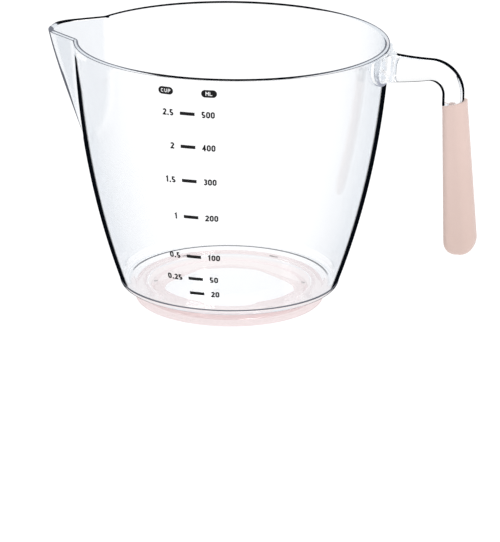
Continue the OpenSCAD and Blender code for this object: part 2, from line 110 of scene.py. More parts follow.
def root(v): return v.math("SQRT") if isinstance(v, Field) else math.sqrt(v)
def lesser(a, b): return a.math("MINIMUM", b) if isinstance(a, Field) else min(a, b)
def greater(a, b): return a.math("MAXIMUM", b) if isinstance(a, Field) else max(a, b)
def unsigned(v): return v.math("ABSOLUTE")


def place_on_bow(z, low, pull, top):
    """How far along a curve from low to top, drawn towards pull, the height z is."""
    bend = low - 2 * pull + top
    rise = 2 * (pull - low)
    return (root(rise * rise - 4 * bend * (low - z)) - rise) / (2 * bend)


def bow(t, low, pull, top):
    return low + 2 * t * (pull - low) + t * t * (low - 2 * pull + top)


def wall_radius(z, w=WALL):
    t = place_on_bow(z, w["heel_height"], w["swell_height"], w["rim_height"])
    return bow(t, w["heel_radius"], w["swell_radius"], w["rim_radius"])


def wall_inside(z, w=WALL):
    """The inner radius, with the thickness taken square to the sloping wall."""
    slope = (wall_radius(z + SLOPE_STEP, w) - wall_radius(z - SLOPE_STEP, w)) / (2 * SLOPE_STEP)
    return wall_radius(z, w) - w["wall"] * root(1 + slope * slope)


def soft_least(a, b, k):
    """The lesser of two numbers, rounded over a width k where they cross."""
    near = greater(k - unsigned(a - b), 0) / k
    return lesser(a, b) - near * near * k / 4


def soft_most(a, b, k):
    return -soft_least(-a, -b, k)


def spout_radius(turn, z, inset, w, s):
    """Radius of the spout's wall at an angle from its ridge, moved inwards by inset."""
    close = greater(s["mouth_height"] - z, 0) / (s["mouth_height"] - s["foot_height"])
    mouth = s["mouth_angle"] * root(greater(1 - close * close, LEAST_MOUTH))
    corner_x = wall_radius(z, w) * mouth.math("COSINE")
    corner_y = wall_radius(z, w) * mouth.math("SINE")
    foot_radius = wall_radius(s["foot_height"], w)
    along = place_on_bow(greater(z, s["foot_height"]), s["foot_height"], s["ridge_height"],
                         w["rim_height"])
    below = lesser(z - s["foot_height"], 0)
    foot_slope = (s["ridge_radius"] - foot_radius) / (s["ridge_height"] - s["foot_height"])
    nose = bow(along, foot_radius, s["ridge_radius"], s["lip_reach"]) + below * foot_slope
    half = lesser(s["lip_half_width"], corner_y * LIP_SHARE)
    steep = (corner_y - half) / greater(nose - corner_x, LEAST_REACH)
    flank = ((corner_y + corner_x * steep - inset * root(1 + steep * steep))
             / (turn.math("SINE") + steep * turn.math("COSINE")))
    beyond = greater(turn - SPAN, 0) * FADE
    return soft_least((nose - inset) / turn.math("COSINE"), flank, s["lip_rounding"]) - beyond


def new_tree(name, sizes):
    """A geometry node tree with a named input for each size, and the Fields of those inputs."""
    tree = bpy.data.node_groups.new(name, "GeometryNodeTree")
    tree.interface.new_socket("Geometry", in_out="INPUT", socket_type="NodeSocketGeometry")
    tree.interface.new_socket("Geometry", in_out="OUTPUT", socket_type="NodeSocketGeometry")
    for size, value in sizes.items():
        socket = tree.interface.new_socket(size.replace("_", " ").capitalize(), in_out="INPUT",
                                           socket_type="NodeSocketFloat")
        socket.default_value = value
    tree.interface.new_socket("Material", in_out="INPUT", socket_type="NodeSocketMaterial")
    entry = tree.nodes.new("NodeGroupInput")
    fields = {size: Field(tree, entry.outputs[i + 1]) for i, size in enumerate(sizes)}
    return tree, entry, fields


def add_node(tree, kind, inputs=(), **settings):
    """A node with its settings made and its inputs filled, by place, with values or sockets."""
    node = tree.nodes.new(kind)
    for name, value in settings.items():
        setattr(node, name, value)
    for place, value in dict(inputs).items():
        if isinstance(value, Field):
            value = value.socket
        if isinstance(value, bpy.types.NodeSocket):
            tree.links.new(value, node.inputs[place])
        else:
            node.inputs[place].default_value = value
    return node


def end_tree(tree, entry, mesh_socket):
    """Welds the seams, turns the faces outwards and shades them smooth, and ends the tree."""
    weld = add_node(tree, "GeometryNodeMergeByDistance", {0: mesh_socket, "Distance": WELD_GAP})
    outward = add_node(tree, "GeometryNodeFlipFaces", {0: weld.outputs[0]})
    smooth = add_node(tree, "GeometryNodeSetShadeSmooth", {0: outward.outputs[0]})
    real = add_node(tree, "GeometryNodeRealizeInstances", {0: smooth.outputs[0]})
    paint = add_node(tree, "GeometryNodeSetMaterial", {0: real.outputs[0]})
    tree.links.new(entry.outputs["Material"], paint.inputs["Material"])
    leave = tree.nodes.new("NodeGroupOutput")
    tree.links.new(paint.outputs[0], leave.inputs[0])


def settle(piece):
    """Turns what a piece's modifiers make into its own plain mesh."""
    bpy.context.view_layer.update()
    done = piece.evaluated_get(bpy.context.evaluated_depsgraph_get())
    mesh = bpy.data.meshes.new_from_object(done)
    piece.modifiers.clear()
    piece.data = mesh
    mesh.set_sharp_from_angle(angle=SHARP_ANGLE)


def stations_piece(name, stations, **attributes):
    """An object of bare points, one for each station of a profile, with numbers at each."""
    mesh = bpy.data.meshes.new(name)
    mesh.from_pydata([(r, 0, z) for r, z in stations], [], [])
    for attribute, values in attributes.items():
        mesh.attributes.new(attribute, "FLOAT", "POINT").data.foreach_set("value", values)
    piece = bpy.data.objects.new(name, mesh)
    bpy.context.collection.objects.link(piece)
    return piece


def run_tree(piece, tree, sizes, material):
    """Shapes a piece by a tree, whose sizes and material are set by their sockets' identifiers."""
    modifier = piece.modifiers.new("shape", "NODES")
    modifier.node_group = tree
    values = {**{size.replace("_", " ").capitalize(): v for size, v in sizes.items()},
              "Material": material}
    for socket in tree.interface.items_tree:
        if socket.in_out == "INPUT" and socket.name in values:
            modifier[socket.identifier] = values[socket.name]
    settle(piece)


def turned_sheet(tree, entry, rows, spread):
    """A grid whose columns go round the axis and whose rows are the profile's stations.
    Gives the grid, each point's turn, its station's radius and height, and a way to its other
    numbers. The profile goes out along the top and back underneath, so that faces turn outwards.
    A spread above 0 crowds the columns towards the spout."""
    grid = add_node(tree, "GeometryNodeMeshGrid", {0: 2, 1: 1, 2: COLUMNS, 3: rows})
    spot = add_node(tree, "GeometryNodeInputPosition")
    place = add_node(tree, "ShaderNodeSeparateXYZ", {0: spot.outputs[0]})
    across = Field(tree, place.outputs["X"])
    turn = math.pi * (across * (1 - spread) + across * across * across * spread)
    row = ((Field(tree, place.outputs["Y"]) + 0.5) * (rows - 1)).math("ROUND")
    taken = add_node(tree, "GeometryNodeSampleIndex",
                     {0: entry.outputs[0], "Value": spot.outputs[0], "Index": row},
                     data_type="FLOAT_VECTOR")
    point = add_node(tree, "ShaderNodeSeparateXYZ", {0: taken.outputs[0]})

    def number(attribute):
        named = add_node(tree, "GeometryNodeInputNamedAttribute", {"Name": attribute})
        found = add_node(tree, "GeometryNodeSampleIndex",
                         {0: entry.outputs[0], "Value": named.outputs[0], "Index": row})
        return Field(tree, found.outputs[0])

    return (grid.outputs[0], turn, Field(tree, point.outputs["X"]),
            Field(tree, point.outputs["Z"]), number)


def set_round(tree, mesh_socket, turn, radius, z, **marks):
    """Puts each point at its turn from the spout, its radius and height, and keeps its marks."""
    kept = mesh_socket.node
    for name, value in marks.items():
        kept = add_node(tree, "GeometryNodeStoreNamedAttribute",
                        {0: kept.outputs[0], "Name": name, "Value": value}, domain="POINT")
    there = add_node(tree, "ShaderNodeCombineXYZ", {
        "X": -(radius * turn.math("COSINE")), "Y": -(radius * turn.math("SINE")), "Z": z})
    moved = add_node(tree, "GeometryNodeSetPosition",
                     {0: kept.outputs[0], "Position": there.outputs[0]})
    return moved.outputs[0]


def steps(a, b, count):
    return [a + (b - a) * i / (count - 1) for i in range(count)]


FLOOR_TOP, FLOOR_UNDER, FILLET = 0.0068, 0.0044, 0.0025
HEEL_ROUND, BASE_DROP, SEAT_RADIUS = 0.0015, 0.0016, 0.0335
RIB_IN, RIB_OUT, RIB_BOTTOM, RIB_EDGE = 0.0287, 0.0313, 0.0019, 0.0002
rim_half = WALL["wall"] / 2
rim_start = WALL["rim_height"] - rim_half
fillet_top = FLOOR_TOP + FILLET
fillet_radius = wall_inside(fillet_top) - FILLET
# How far in from an outline the painted dark line at each kind of place reaches, as a share of the
# way to facing the viewer; the line stands in for dark surroundings refracted at the plastic's
# edges. Above
# 1 it is there at any angle, as the painted lines round the floor's corner and along the foot.
EDGE_WALL, EDGE_INSIDE, EDGE_HEEL, EDGE_FLOOR, EDGE_CORNER, EDGE_LINE = (
    0.26, 0.05, 0.25, 0.0, 1.1, 1.04)
CORNER_FROM, CORNER_TO, LINE_TO, LINE_HIGH, LINE_CLEAR = 0.1, 0.3, 0.3, 0.0004, 0.0001

# Each row is a radius, a height, the side of the wall (1 outside, -1 inside), whether it is wall,
# whether it is rim, and its painted dark line. The wall's radius is worked out in the tree.
rows = [(r, FLOOR_TOP, 0, 0, 0, EDGE_FLOOR) for r in steps(0, fillet_radius, 8)]
for a in steps(0, math.pi / 2, 13)[1:]:
    rows.append((fillet_radius + FILLET * math.sin(a), fillet_top - FILLET * math.cos(a), 0, 0, 0,
                 EDGE_CORNER if CORNER_FROM < a < CORNER_TO else EDGE_FLOOR))
rows += [(0, z, -1, 1, 0, EDGE_INSIDE) for z in steps(fillet_top, rim_start, 46)[1:]]
for a in steps(math.pi, 0, 15)[1:-1]:
    rows.append((0, rim_start + rim_half * math.sin(a), math.cos(a), 1, 1, 0))
line_top = WALL["heel_height"] + LINE_HIGH
rows += [(0, z, 1, 1, 0, EDGE_WALL) for z in steps(rim_start, line_top + LINE_CLEAR, 50)]
rows += [(0, z, 1, 1, 0, EDGE_LINE) for z in (line_top, WALL["heel_height"])]
for a in steps(math.pi / 2, 0, 8)[1:]:
    rows.append((WALL["heel_radius"] - HEEL_ROUND * (1 - math.sin(a)),
                 FLOOR_UNDER + BASE_DROP
                 + (WALL["heel_height"] - FLOOR_UNDER - BASE_DROP) * (1 - math.cos(a)), 0, 0, 0,
                 EDGE_HEEL if a > LINE_TO else EDGE_LINE))
base_radius = WALL["heel_radius"] - HEEL_ROUND
rows += [(r, FLOOR_UNDER + BASE_DROP * (r - SEAT_RADIUS) / (base_radius - SEAT_RADIUS), 0, 0, 0,
          EDGE_FLOOR) for r in steps(base_radius, SEAT_RADIUS, 6)[1:]]
for r, z in ((RIB_OUT + RIB_EDGE, FLOOR_UNDER), (RIB_OUT, FLOOR_UNDER - RIB_EDGE),
             (RIB_OUT, RIB_BOTTOM + RIB_EDGE), (RIB_OUT - RIB_EDGE, RIB_BOTTOM),
             (RIB_IN + RIB_EDGE, RIB_BOTTOM), (RIB_IN, RIB_BOTTOM + RIB_EDGE),
             (RIB_IN, FLOOR_UNDER - RIB_EDGE), (RIB_IN - RIB_EDGE, FLOOR_UNDER),
             (RIB_IN / 2, FLOOR_UNDER), (0, FLOOR_UNDER)):
    rows.append((r, z, 0, 0, 0, EDGE_FLOOR))

# The plastic's colour carries a painted grey-blue shade where its wall is seen along, and on the
# drawn-out spout, in place of the shade that reflection and refraction bring. An outline is
# painted with a dark line, in place of dark surroundings refracted at its edges, where its facing
# passes its edge number; the line is black, or paler by its pale number. On the plain outer wall
# (around) the line is painted only where the wall turns away sideways, and not from above.
PAINTED_SHADE_TINT, PAINTED_SHADE_POWER, INDEX = (0.44, 0.50, 0.57, 1), 1.5, 1.57
LINE_BLACK, LINE_PALE, LINE_SOFT = (0.002, 0.003, 0.005, 1), (0.55, 0.58, 0.68, 1), 0.04
SIDE_FROM, SIDE_FULL = 0.25, 0.45
TRAPPED_DEPTH, TRAPPED_GLOW, TRAPPED_PINK_GLOW = 5.5, (0.86, 0.90, 0.95, 1), (0.98, 0.90, 0.90, 1)
PINK_TOP, PINK_FULL, LEAST_EDGE, SHADOW_TONE = 0.0115, 0.0075, 0.02, (0.93, 0.94, 0.95, 1)
clear = bpy.data.materials.new("clear_plastic")
clear.use_nodes = True
tree = clear.node_tree
tree.nodes.clear()
facing = add_node(tree, "ShaderNodeLayerWeight", {"Blend": 0.5})
steep = Field(tree, facing.outputs["Facing"])
hit = add_node(tree, "ShaderNodeNewGeometry")
outside = 1 - Field(tree, hit.outputs["Backfacing"])
reach = add_node(tree, "ShaderNodeAttribute", attribute_name="edge")
upright = Field(tree, reach.outputs["Fac"]).math("GREATER_THAN", LEAST_EDGE)
veil = add_node(tree, "ShaderNodeAttribute", attribute_name="veil")
# Painted grey-blue shade mixed into the plastic's colour
painted_shade = greater(steep.math("POWER", PAINTED_SHADE_POWER) * upright, Field(tree, veil.outputs["Fac"]))
shaded_colour = add_node(tree, "ShaderNodeMixRGB", {0: painted_shade * outside, 1: (1, 1, 1, 1), 2: PAINTED_SHADE_TINT})
glass = add_node(tree, "ShaderNodeBsdfPrincipled", {
    "Base Color": shaded_colour.outputs[0], "Roughness": 0.0, "IOR": INDEX, "Transmission Weight": 1.0})
pale = add_node(tree, "ShaderNodeAttribute", attribute_name="pale")
around = add_node(tree, "ShaderNodeAttribute", attribute_name="around")
spot = add_node(tree, "ShaderNodeTexCoord")
place = add_node(tree, "ShaderNodeSeparateXYZ", {0: spot.outputs["Object"]})
sideways = add_node(tree, "ShaderNodeVectorMath", {0: add_node(tree, "ShaderNodeCombineXYZ", {
    "X": -Field(tree, place.outputs["Y"]), "Y": place.outputs["X"]}).outputs[0]},
    operation="NORMALIZE")
along = add_node(tree, "ShaderNodeLayerWeight", {"Blend": 0.5, "Normal": sideways.outputs[0]})
from_above = add_node(tree, "ShaderNodeMapRange", {
    0: along.outputs["Facing"], 1: SIDE_FROM, 2: SIDE_FULL, 3: 0, 4: 1}, clamp=True)
seen = 1 - Field(tree, from_above.outputs[0]) * Field(tree, around.outputs["Fac"])
# The painted dark line's colour: black, or a paler grey-blue by the pale mark
shade = add_node(tree, "ShaderNodeMixRGB", {
    0: pale.outputs["Fac"], 1: LINE_BLACK, 2: LINE_PALE})
painted_line = add_node(tree, "ShaderNodeBsdfDiffuse", {"Color": shade.outputs[0]})
dark = add_node(tree, "ShaderNodeMapRange", {
    0: steep + Field(tree, reach.outputs["Fac"]), 1: 1.0, 2: 1.0 + LINE_SOFT, 3: 0, 4: 1},
    clamp=True)
painted_lines = add_node(tree, "ShaderNodeMixShader", {
    0: Field(tree, dark.outputs[0]) * outside * seen, 1: glass.outputs[0], 2: painted_line.outputs[0]})
path = add_node(tree, "ShaderNodeLightPath")
# Past TRAPPED_DEPTH bounces the plastic gives out a painted glow of the room's mean brightness,
# pinker near the ring, in place of the light that stays trapped between the skins
trapped = Field(tree, path.outputs["Ray Depth"]).math("GREATER_THAN", TRAPPED_DEPTH)
near_ring = add_node(tree, "ShaderNodeMapRange", {
    0: place.outputs["Z"], 1: PINK_TOP, 2: PINK_FULL, 3: 0, 4: 1}, clamp=True)
glow_colour = add_node(tree, "ShaderNodeMixRGB", {0: near_ring.outputs[0], 1: TRAPPED_GLOW, 2: TRAPPED_PINK_GLOW})
painted_glow = add_node(tree, "ShaderNodeEmission", {"Color": glow_colour.outputs[0], "Strength": 1.0})
filled = add_node(tree, "ShaderNodeMixShader", {0: trapped, 1: painted_lines.outputs[0],
                                                2: painted_glow.outputs[0]})
passing = add_node(tree, "ShaderNodeBsdfTransparent", {"Color": SHADOW_TONE})
through = greater(Field(tree, path.outputs["Is Shadow Ray"]),
                  Field(tree, path.outputs["Is Diffuse Ray"]))
both = add_node(tree, "ShaderNodeMixShader", {0: through, 1: filled.outputs[0],
                                              2: passing.outputs[0]})
add_node(tree, "ShaderNodeOutputMaterial", {0: both.outputs[0]})

sizes = {**WALL, **SPOUT}
tree, entry, size = new_tree("bowl and spout", sizes)
sheet, turn, radius, z, number = turned_sheet(tree, entry, len(rows), spread=0.6)


def ramp(value, none, full):
    """Rises from 0 to 1 as a value goes from one limit to the other."""
    return lesser(greater((value - none) / (full - none), 0), 1)


def window(turn, none, full):
    """Rises from 0 to 1 as a turn goes from one angle to the other, in degrees."""
    return ramp(turn, math.radians(none), math.radians(full))


def between(turn, rise, fall):
    """Is 1 between two angles, which it rises and falls at, and 0 beyond them."""
    return lesser(window(turn, *rise), window(turn, *fall))


# Angles are degrees from the spout, with the printed front above 0. The rim's painted dark line,
# in place of dark surroundings refracted in the rim, is black in front and behind, and paler
# elsewhere.
# It thins where less of the rim's round faces the front, and on the spout's flanks the rim runs at
# an angle of its own, FLANK_TURN.
RIM_IN_FRONT, RIM_BEHIND = ((60, 80), (165, 125)), ((-145, -110), (-1, -3))
RIM_BLACK, RIM_THIN, RIM_PALE, RIM_LOW, RIM_LEAST = 0.99, 0.97, 0.75, 1.03, 0.02
THIN_RISE, THIN_FALL, RIM_PALENESS, RIM_LOW_SKIN = (0, -3), (-60, -20), 0.4, 0.93
RIM_TILT, FLANK, FLANK_TURN, FRONT_TURN = (
    0.0855, ((1, 4), (20, 17)), math.radians(51), math.radians(105))
# The wall's painted dark line gets narrower towards the rim beside the spout.
NARROW_FROM, NARROW_RATE, NARROW_END, NARROW_FULL, NARROW_LAST = 0.080, 6, 0.0903, 0.0913, 0.25
BESIDE_SPOUT, CORNER_BEHIND, CORNER_LESS, CORNER_PALE, LINE_PALENESS = (
    (60, 35), ((10, -15), (-165, -140)), 0.9, 0.25, 0.3)
# The spout has a painted dark line of its own along its nose, and painted shade where it is
# drawn out of the wall.
ON_SPOUT, ON_NOSE, SPOUT_PALE, NOSE_FOOT, NOSE_LIP = (25.5, 24.5), (15, 10), 0.25, 0.58, 0.30
SPOUT_LINE_FROM, SPOUT_LINE_FULL, NOSE_FROM, NOSE_FULL = 0.0575, 0.0615, 0.064, 0.082
SPOUT_SHADE_AMOUNT, SPOUT_SHADE_FROM, SPOUT_SHADE_FULL = 0.6, 0.00018, 0.00138

skin, is_wall, is_rim, edge = (number(name) for name in ("skin", "is_wall", "is_rim", "edge"))
off_spout = unsigned(turn)
aside = lesser(off_spout, WIDEST)
zw = greater(lesser(z, size["rim_height"]), size["heel_height"])
outer = soft_most(wall_radius(zw, size), spout_radius(aside, zw, 0, size, size), size["blend"])
inner = soft_most(wall_inside(zw, size), spout_radius(aside, zw, size["wall"], size, size),
                  size["blend"])
wall_place = (outer + inner) / 2 + (outer - inner) / 2 * skin

rim_tone = greater(between(turn, *RIM_IN_FRONT), between(turn, *RIM_BEHIND))
on_flank = between(off_spout, *FLANK)
rim_turn = turn + on_flank * (turn.math("SIGN") * FLANK_TURN - turn) - FRONT_TURN
shows = rim_turn.math("COSINE")
rim_faces = root((1 - RIM_TILT) * shows * shows + RIM_TILT)
thin = window(turn, *THIN_RISE) * window(turn, *THIN_FALL)
black_rim = rim_faces * (RIM_BLACK - (RIM_BLACK - RIM_THIN) * thin) + RIM_LEAST
rim_low = skin.math("GREATER_THAN", RIM_LOW_SKIN)
pale_rim = (rim_faces * RIM_PALE + RIM_LEAST) * (1 - rim_low) + rim_low * RIM_LOW
rim_edge = pale_rim + (black_rim - pale_rim) * rim_tone

is_corner = edge.math("GREATER_THAN", (EDGE_LINE + EDGE_CORNER) / 2)
is_line = edge.math("GREATER_THAN", 1.0) - is_corner
is_plain = greater(skin, 0) * is_wall * (1 - is_rim) * (1 - is_line)
narrowing = (greater(z - NARROW_FROM, 0) * NARROW_RATE
             + ramp(z, NARROW_END, NARROW_FULL) * NARROW_LAST)
on_spout = window(off_spout, *ON_SPOUT) * ramp(z, SPOUT_LINE_FROM, SPOUT_LINE_FULL)
nose = window(off_spout, *ON_NOSE) * (
    NOSE_FOOT - (NOSE_FOOT - NOSE_LIP) * ramp(z, NOSE_FROM, NOSE_FULL))
wall_edge = (edge - is_corner * (1 - between(turn, *CORNER_BEHIND)) * CORNER_LESS
             + is_plain * (on_spout * (nose - edge)
                           - (1 - on_spout) * window(off_spout, *BESIDE_SPOUT) * narrowing))
drawn_out = ramp(outer - wall_radius(zw, size), SPOUT_SHADE_FROM, SPOUT_SHADE_FULL)
end_tree(tree, entry, set_round(
    tree, sheet, turn, is_wall * wall_place + (1 - is_wall) * radius, z, around=is_plain,
    edge=wall_edge * (1 - is_rim) + is_rim * rim_edge,
    pale=(is_rim * (1 - rim_tone) * RIM_PALENESS + is_corner * CORNER_PALE
          + is_line * LINE_PALENESS + is_plain * on_spout * SPOUT_PALE),
    veil=drawn_out * is_wall * (1 - is_rim) * SPOUT_SHADE_AMOUNT))
bowl = stations_piece("bowl_and_spout", [row[:2] for row in rows], **{
    name: [row[i] for row in rows] for i, name in enumerate(
        ("skin", "is_wall", "is_rim", "edge"), 2)})
run_tree(bowl, tree, sizes, clear)
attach(bowl, "root")
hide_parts("jug_body")

# The arm is a second moulding in the same clear plastic. It leaves the bowl from a thin pad that
# is welded under the rim, widens into that pad, bends down, and ends in a tang inside the grip.
CORNER_STEPS, FLAT_STEPS, BEND_STEPS = 10, 4, 24
PAD_GAP, PAD_THICK, PAD_HALF, PAD_DROP, PAD_HEIGHT, PAD_OVAL, PAD_CORNER, PAD_CLEAR = (
    0.00005, 0.0008, 0.0144, 0.00105, 0.0122, 0.008, 0.0008, 0.0002)
PAD_ARC_FROM, PAD_ARC_SPAN = 4, 78
ARM_TOP, ARM_RISE, ARM_ROOT, ARM_DEEP, ARM_END, ARM_WIDE = (
    0.0926, 0.0011, 0.0099, 0.0071, 0.00705, 0.0082)
UPRIGHT, BEND, ARM_INNER, ARM_OUTER = 0.0788, 0.0081, 0.0022, 0.0031
FLARE_LONG, FLARE_POWER, FLARE_WIDE, FLARE_HIGH, SETTLE_LONG = 0.0036, 2.6, 0.66, 0.35, 0.008
GRIP_LONG, BARE_LONG, SLEEVE_SHIFT, LEAN, SLANT = (
    0.0547, 0.0028, 0.0007, math.radians(4.1), math.radians(14))
GRIP_TOP_DEEP, GRIP_END_DEEP, GRIP_TOP_WIDE, GRIP_END_WIDE = 0.0082, 0.01125, 0.0092, 0.011
GRIP_INNER, GRIP_OUTER, ROUND_IN, ROUND_OUT, TIP, SLEEVE, SLEEVE_GAP = (
    0.0024, 0.004, 0.0050, 0.0070, 0.003, 0.0013, 0.00005)
TIP_PLACE, GRIP_FROM, CORNER_SHARE, NECK, MERGE = 0.38, 0.003, 0.48, 0.98, 0.000005


def rounded_section(deep, wide, inner, outer):
    """A rounded rectangle as (depth, across) points, its inner corners tighter than its outer."""
    corners = ((1, 1, outer, 0), (-1, 1, inner, 90), (-1, -1, inner, 180), (1, -1, outer, 270))
    points = []
    for d, a, r, start in corners:
        r = min(r, CORNER_SHARE * deep, CORNER_SHARE * wide)
        for step in range(CORNER_STEPS + 1):
            turn = math.radians(start + 90 * step / CORNER_STEPS)
            points.append((d * (deep / 2 - r) + r * math.cos(turn),
                           a * (wide / 2 - r) + r * math.sin(turn)))
    return with_flats(points)


def with_flats(points):
    """Adds points along the straight between one corner's last point and the next one's first."""
    full, each = [], CORNER_STEPS + 1
    for corner in range(4):
        after = (corner + 1) * each
        full += points[corner * each:after]
        (d0, a0), (d1, a1) = points[after - 1], points[after % (4 * each)]
        full += [(d0 + (d1 - d0) * i / FLAT_STEPS, a0 + (a1 - a0) * i / FLAT_STEPS)
                 for i in range(1, FLAT_STEPS)]
    return full


def mixed(a, b, share):
    return tuple(p + (q - p) * share for p, q in zip(a, b))


def closed_skin(name, rings, material, **marks):
    """A closed skin over a stack of rings, with its ends drawn together. Its marks are numbers for
    each ring, or for each of a ring's points."""
    count = len(rings[0])
    points = [point for ring in rings for point in ring]
    faces = [(j * count + i, j * count + (i + 1) % count, (j + 1) * count + (i + 1) % count,
              (j + 1) * count + i) for j in range(len(rings) - 1) for i in range(count)]
    for j, ring in ((0, rings[0]), (len(rings) - 1, rings[-1])):
        points.append(tuple(sum(p[axis] for p in ring) / count for axis in range(3)))
        faces += [(j * count + i, j * count + (i + 1) % count, len(points) - 1)
                  for i in range(count)]
    mesh = bpy.data.meshes.new(name)
    mesh.from_pydata(points, [], faces)
    for mark, values in marks.items():
        lists = [value if isinstance(value, list) else [value] * count for value in values]
        full = sum(lists, []) + [0.0, 0.0]
        mesh.attributes.new(mark, "FLOAT", "POINT").data.foreach_set("value", full)
    form = bmesh.new()
    form.from_mesh(mesh)
    bmesh.ops.remove_doubles(form, verts=form.verts, dist=MERGE)
    bmesh.ops.recalc_face_normals(form, faces=form.faces)
    form.to_mesh(mesh)
    form.free()
    mesh.shade_smooth()
    mesh.set_sharp_from_angle(angle=SHARP_ANGLE)
    mesh.materials.append(material)
    piece = bpy.data.objects.new(name, mesh)
    bpy.context.collection.objects.link(piece)
    return piece


def on_wall(across, z, out):
    """The point beside the handle's plane at that height, that far out from the bowl's wall."""
    reach = wall_radius(z) + out
    return (math.sqrt(reach * reach - across * across), across, z)


pad_top = WALL["rim_height"] - PAD_DROP
pad_middle = WALL["rim_height"] - PAD_HEIGHT + PAD_OVAL
outline = []
for step in range(CORNER_STEPS + 1):
    turn = math.radians(90 * step / CORNER_STEPS)
    outline.append((pad_top - PAD_CORNER * (1 - math.cos(turn)),
                    PAD_HALF - PAD_CORNER + PAD_CORNER * math.sin(turn)))
for step in range(CORNER_STEPS + 1):
    turn = math.radians(PAD_ARC_FROM + PAD_ARC_SPAN * step / CORNER_STEPS)
    outline.append((pad_middle - PAD_OVAL * math.sin(turn), PAD_HALF * math.cos(turn)))
outline += [(d, -a) for d, a in outline[::-1]]
pad_outline = with_flats(outline)
pad_centre = (pad_middle, 0.0)

arm_mid = ARM_TOP - ARM_DEEP / 2
bend_x, bend_z = UPRIGHT - BEND, arm_mid - BEND
root_x = wall_radius(arm_mid) + PAD_GAP + PAD_THICK
grip_top = bend_z - BARE_LONG
grip_bottom = grip_top - GRIP_LONG
grip_x = UPRIGHT + SLEEVE_SHIFT
# The painted dark lines along the arm, in place of dark surroundings refracted at its edges, and
# how much they grow round the bend's outside and inside
EDGE_ARM, EDGE_BEND, EDGE_INNER, EDGE_PAD = 0.42, 0.1, 0.36, 0.05
# A painted blue-grey shade on the pad's lower part, paler by PAD_PALE
PAD_SHADE, SHADE_DROP, PAD_PALE = 0.33, 0.0012, 0.7


def arm_level(x):
    """The arm's section where it runs level, as (height, across) points."""
    to_root = max(0, (bend_x - x) / (bend_x - root_x))
    deep = ARM_DEEP + (ARM_ROOT - ARM_DEEP) * to_root
    middle = ARM_TOP + ARM_RISE * to_root ** 2 - deep / 2
    return [(middle + d, a) for d, a in rounded_section(deep, ARM_WIDE, ARM_INNER, ARM_OUTER)]


widened = [(min(z + (pad_z - z) * FLARE_HIGH, pad_top - PAD_CLEAR), pad_a * FLARE_WIDE)
           for (z, a), (pad_z, pad_a) in zip(arm_level(root_x), pad_outline)]
rings = []
for share in steps(0.1, 0.8, 4) + [0.97]:
    rings.append([on_wall(*mixed(pad_centre, p, share)[::-1], PAD_GAP) for p in pad_outline])
for share, out in ((1, 0), (1, 0.2), (1, 0.75), (0.99, 0.95), (0.975, 1)):
    rings.append([on_wall(*mixed(pad_centre, p, share)[::-1], PAD_GAP + PAD_THICK * out)
                  for p in pad_outline])
for share in (0.25, 0.5, 0.75, 0.92):
    rings.append([on_wall(*mixed(p, q, share)[::-1], PAD_GAP + PAD_THICK)
                  for p, q in zip(pad_outline, widened)])
edges = [[EDGE_PAD + (PAD_SHADE if z < pad_middle - SHADE_DROP else 0.0) for x, a, z in ring]
         for ring in rings]
pales = [PAD_PALE] * len(rings)
for d in (0, 0.0002, 0.0004, 0.0007, 0.001, 0.0014, 0.0019, 0.0025, 0.0031, 0.0038, 0.005, 0.0065,
          0.008, 0.0095, 0.011, 0.0125, 0.014):
    flare = max(0, 1 - d / FLARE_LONG) ** FLARE_POWER
    sink = max(0, 1 - d / SETTLE_LONG) ** 2
    ring = []
    for p, q in zip(arm_level(root_x + d), widened):
        z, across = mixed(p, q, flare)
        on_face = on_wall(across, z, PAD_GAP + PAD_THICK)
        ring.append((root_x + d + (on_face[0] - root_x) * sink, across, z))
    rings.append(ring)
    edges.append(EDGE_PAD + (EDGE_ARM - EDGE_PAD) * min(1, d / FLARE_LONG) ** 2)
for step in range(BEND_STEPS + 1):
    turn = math.radians(90 * step / BEND_STEPS)
    deep = ARM_DEEP + (ARM_END - ARM_DEEP) * step / BEND_STEPS
    section = rounded_section(deep, ARM_WIDE, ARM_INNER, ARM_OUTER)
    rings.append([(bend_x + (BEND + d) * math.sin(turn), a, bend_z + (BEND + d) * math.cos(turn))
                  for d, a in section])
    edges.append([EDGE_ARM + (EDGE_BEND * math.sin(2 * turn) if d > 0 else
                              EDGE_INNER * math.sin(min(2 * turn, math.pi / 2)))
                  for d, a in section])


def on_slant(x, drop=0.0):
    """The height of the grip's slanted top at x, less a drop."""
    return grip_top + (x - grip_x) * math.tan(SLANT) - drop


arm_end = rounded_section(ARM_END, ARM_WIDE, ARM_INNER, ARM_OUTER)
for share in (0.25, 0.6, 0.93):
    rings.append([(UPRIGHT + d, a, bend_z + (on_slant(UPRIGHT + d) - bend_z) * share)
                  for d, a in arm_end])
    edges.append([EDGE_ARM + (EDGE_INNER if d < 0 else 0) for d, a in arm_end])


def end_share(z, bottom, end_round):
    """How much of its full size the grip still has at a height, as its end rounds off."""
    return math.sqrt(max(0.0, 1 - max(0.0, (bottom + end_round - z) / end_round) ** 2))


